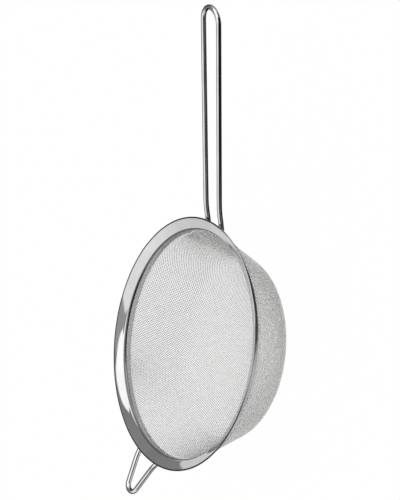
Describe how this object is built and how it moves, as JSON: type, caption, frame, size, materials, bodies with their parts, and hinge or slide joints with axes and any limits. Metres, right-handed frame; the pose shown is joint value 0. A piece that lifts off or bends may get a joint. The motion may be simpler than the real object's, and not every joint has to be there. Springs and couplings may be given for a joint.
{
  "type": "tea strainer",
  "caption": "Tea strainer: round-bottomed bowl of woven wire in a polished funnel-shaped rim, with a hairpin wire handle and a small wire rest opposite.",
  "frame": {"origin": "centre of the small flat in the middle of the bowl's domed underside", "axes": "+Z out of the opening, along the rim's axis; +X towards the handle; the bowl's lowest face lies at Z = 0"},
  "size_m": [0.1953, 0.097, 0.0549],
  "materials": {
    "polished_rim": "polished stainless steel with fine turning lines",
    "plain_band": "plain rolled stainless strip",
    "woven_wire": "drawn stainless wire, plain weave",
    "polished_wire": "polished stainless wire"
  },
  "bodies": {
    "root": {"rim_flange": "polished_rim", "clamp_band": "plain_band", "mesh_bowl": "woven_wire", "handle_wire": "polished_wire", "rest_wire": "polished_wire"}
  },
  "joints": []
}
